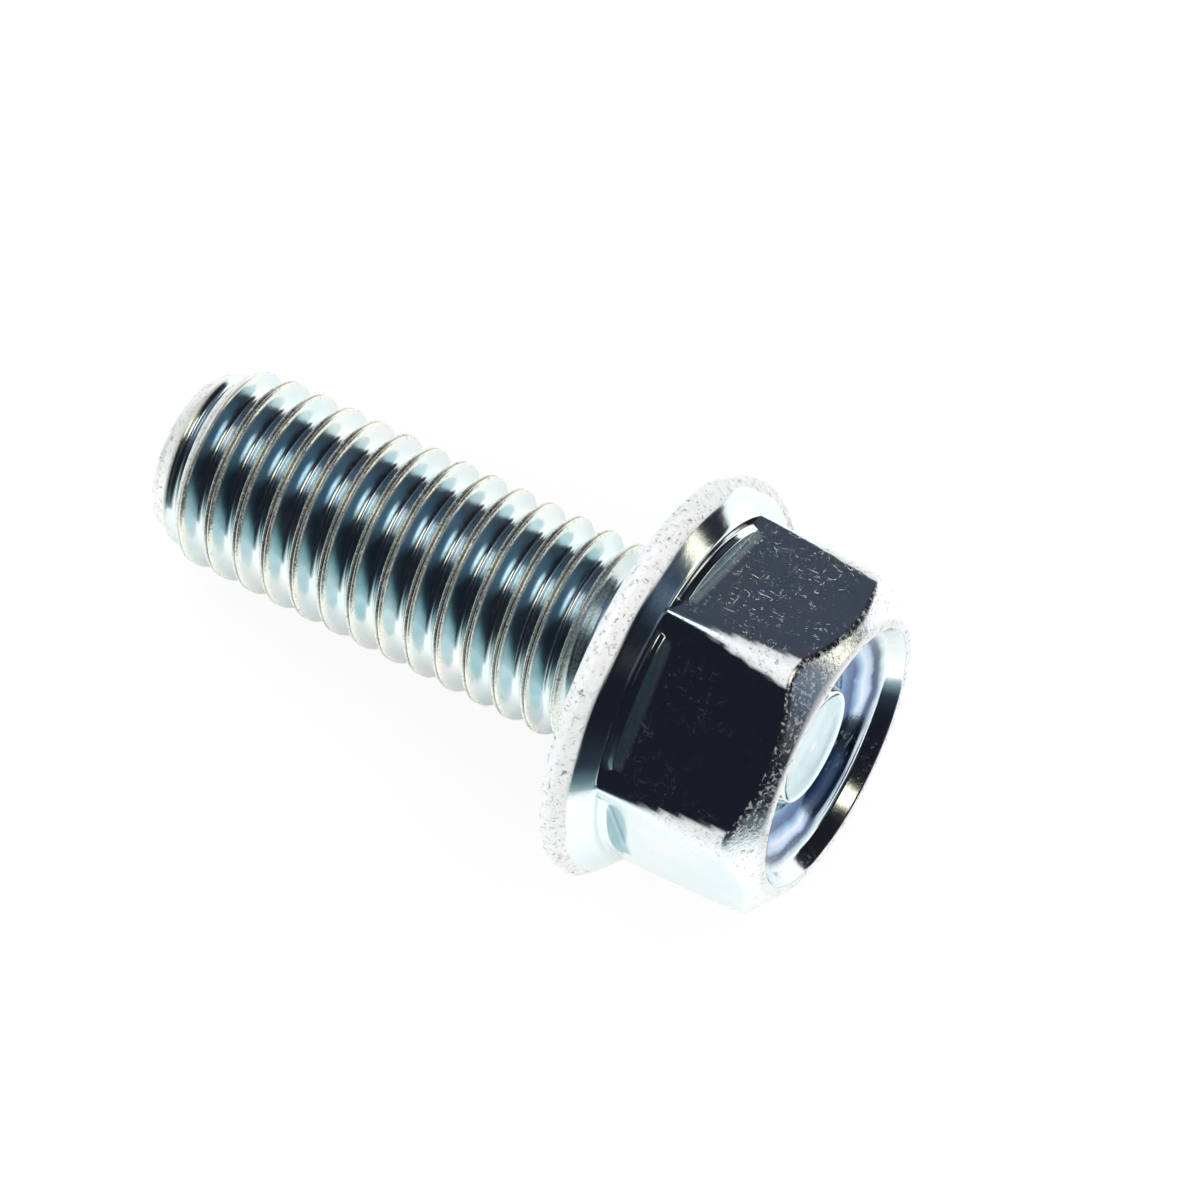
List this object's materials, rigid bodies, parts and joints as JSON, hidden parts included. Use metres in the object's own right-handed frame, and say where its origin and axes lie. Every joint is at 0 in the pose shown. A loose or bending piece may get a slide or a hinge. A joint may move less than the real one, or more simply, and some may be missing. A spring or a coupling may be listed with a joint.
{
  "type": "flange bolt",
  "caption": "Hexagon flange bolt with a dished head and a fully threaded metric shank, standing on its head.",
  "frame": {"origin": "centre of the flange's bearing face, on the bolt's axis", "axes": "+Z along the bolt's axis from the bearing face to the threaded end; the head hangs below z = 0 and its resting ring is at z = -0.0076; -Y is the side seen first"},
  "size_m": [0.016, 0.016, 0.0276],
  "materials": {
    "zinc_plated_steel": "bright blue-white zinc plating, glossy, lightly scuffed"
  },
  "bodies": {
    "root": {"flange_bolt": "zinc_plated_steel"}
  },
  "joints": []
}
